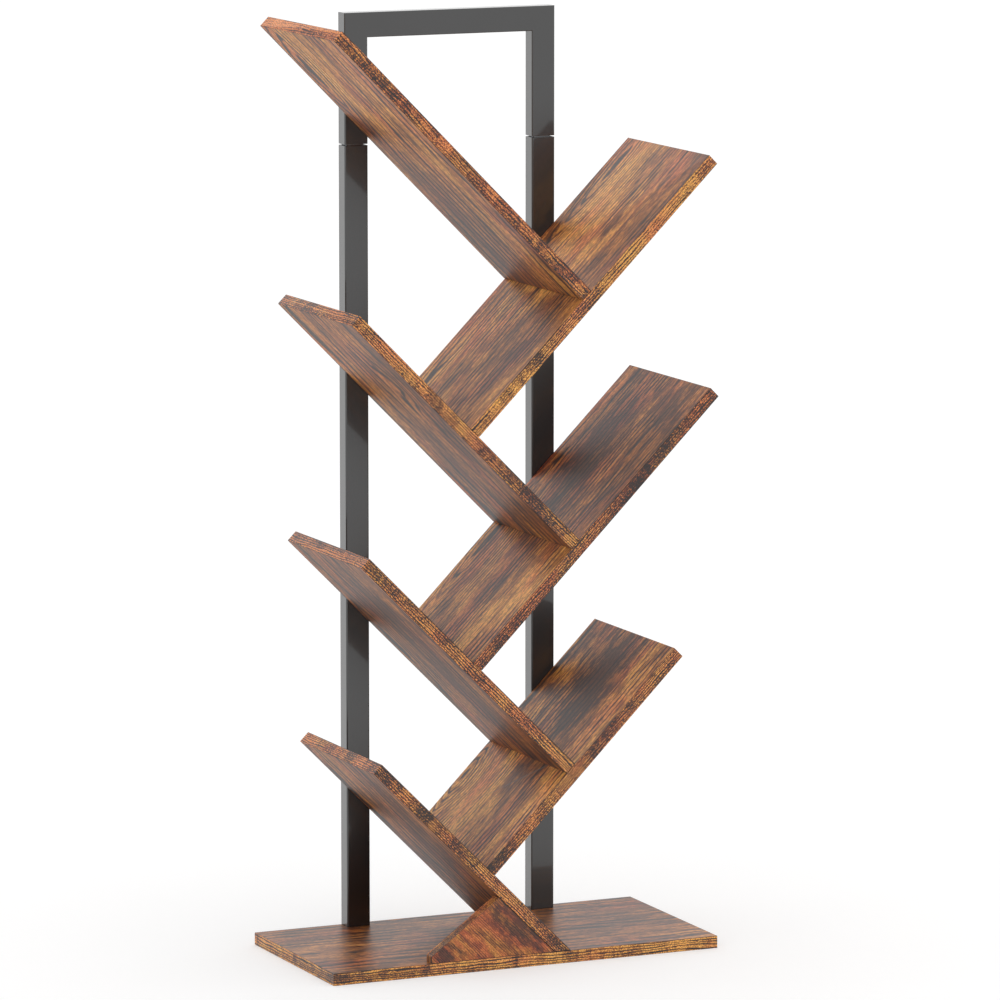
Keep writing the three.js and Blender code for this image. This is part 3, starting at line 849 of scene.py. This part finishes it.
black_oxide = plated_steel("black_oxide_steel", "1f1f21", "2b2b2d", 0.4)
bright_zinc = plated_steel("bright_zinc_steel", "b4b7ba", "ccced0", 0.3)

# Each one's shank radius and length, head radius and height, and socket width across its flats
shelf_bolt = button_outline(3 * mm, 50 * mm, 5.5 * mm, 3 * mm, 4 * mm)
joint_screw = button_outline(2.5 * mm, 9 * mm, 4.5 * mm, 2.4 * mm, 3 * mm)
foot_bolt = countersunk_outline(3 * mm, 30 * mm, 6 * mm, 3.3 * mm, 4 * mm)
connector = countersunk_outline(3.2 * mm, 50 * mm, 5 * mm, 3.5 * mm, 4 * mm)
base_screw = countersunk_outline(2 * mm, 25 * mm, 4 * mm, 2.4 * mm, 2.5 * mm)
gusset_screw = countersunk_outline(2 * mm, 40 * mm, 4 * mm, 2.4 * mm, 2.5 * mm)

# Each kind: what its nodes' names hold, its outline, the pitch of its thread and where it starts
fastener_kinds = (
    ("_shelf_bolt_", shelf_bolt, 1.0 * mm, 28 * mm, "black_bolt", black_oxide),
    ("_joint_screw_", joint_screw, 0.8 * mm, 3.4 * mm, "black_bolt", black_oxide),
    ("_foot_bolt", foot_bolt, 1.0 * mm, 14 * mm, "zinc_screw", bright_zinc),
    ("connecting_screw_", connector, 2.0 * mm, 16 * mm, "zinc_screw", bright_zinc),
    ("base_screw_", base_screw, 1.8 * mm, 12 * mm, "zinc_screw", bright_zinc),
    ("gusset_screw_", gusset_screw, 1.8 * mm, 16 * mm, "zinc_screw", bright_zinc),
)
for part, outline, pitch, threads_from, slot, material in fastener_kinds:
    for name in sorted(nodes):
        if part in name:
            turned(name + "_turned", name, outline, pitch, threads_from, material)

# Inserts, stubs and foot plugs
# Zinc-plated threaded inserts pressed into the shelves' back edges, stubs of bare cold-drawn steel
# tube across the slits, and steel plugs welded into the posts' feet. None of them shows when the
# bookshelf is put together.
bare_steel = plated_steel("bare_steel", "84878a", "9b9da0", 0.38)
for name in sorted(nodes):
    if "_insert_" in name:
        dress(name, bright_zinc)
    elif "_stub" in name or "_plug" in name:
        dress(name, bare_steel)

# Dowels
# Fluted beech dowels, pale and straight-grained, turned from the rod and glued into the boards.
fleck_size = (0.4 * mm, 3 * mm, 0.4 * mm)
fleck_depth = 0.05 * mm


def beech():
    """Plain beech: pale pinkish brown with short darker ray flecks, drawn through the whole wood."""
    material, tree = blank_material("beech")
    place = wire(tree, "TexCoord", {}, out="Object")
    scaled = wire(tree, "VectorMath", {0: place, 1: fleck_size}, operation="DIVIDE")
    fleck = wire(tree, "TexNoise", {"Vector": scaled, "Scale": 1.0, "Detail": 3})
    tone = wire(tree, "MapRange", {0: fleck, 1: 0.35, 2: 0.7, 3: 0.0, 4: 1.0})
    inputs = {0: tone, 6: linear("d9b891"), 7: linear("b98f66")}
    colour = wire(tree, "Mix", inputs, out=2, data_type="RGBA")
    bump = wire(tree, "Bump", {"Strength": 0.2, "Distance": fleck_depth, "Height": fleck})
    inputs = {"Base Color": colour, "Roughness": 0.55, "IOR": 1.5, "Normal": bump}
    shader = wire(tree, "BsdfPrincipled", inputs)
    wire(tree, "OutputMaterial", {0: shader})
    return material


beech_wood = beech()
for name in sorted(nodes):
    if "dowel" in name:
        dress(name, beech_wood)

# Studio
# A plain white floor under an even white sky. The floor glows a little where the camera, a
# reflection or a clear thing sees it, so that it shows white, and it keeps the shadow.
world = bpy.data.worlds.new("studio")
world.use_nodes = True
tree = world.node_tree
tree.nodes.clear()
sky = wire(tree, "Background", {0: (1, 1, 1, 1), 1: 1.0})
wire(tree, "OutputWorld", {0: sky})
bpy.context.scene.world = world

floor_half = 30.0
floor_grey = 0.75
floor_glow = 0.3
floor_mesh = bpy.data.meshes.new("floor")
corners = [(-1, -1), (1, -1), (1, 1), (-1, 1)]
floor_mesh.from_pydata([(x * floor_half, y * floor_half, 0) for x, y in corners], [], [(0, 1, 2, 3)])
floor = bpy.data.objects.new("floor", floor_mesh)
bpy.context.scene.collection.objects.link(floor)
paint, tree = blank_material("floor_paint")
matt = wire(tree, "BsdfDiffuse", {0: (floor_grey, floor_grey, floor_grey, 1)})
glow = wire(tree, "Emission", {0: (1, 1, 1, 1), 1: floor_glow})
paths = wire(tree, "LightPath", {}).node
seen = paths.outputs["Is Camera Ray"]
for kind in ("Is Glossy Ray", "Is Transmission Ray"):
    seen = wire(tree, "Math", {0: seen, 1: paths.outputs[kind]}, operation="MAXIMUM")
lit = wire(tree, "AddShader", {0: matt, 1: glow})
mixed = wire(tree, "MixShader", {0: seen, 1: matt, 2: lit})
wire(tree, "OutputMaterial", {0: mixed})
floor_mesh.materials.append(paint)

bpy.context.scene.view_settings.view_transform = "Standard"
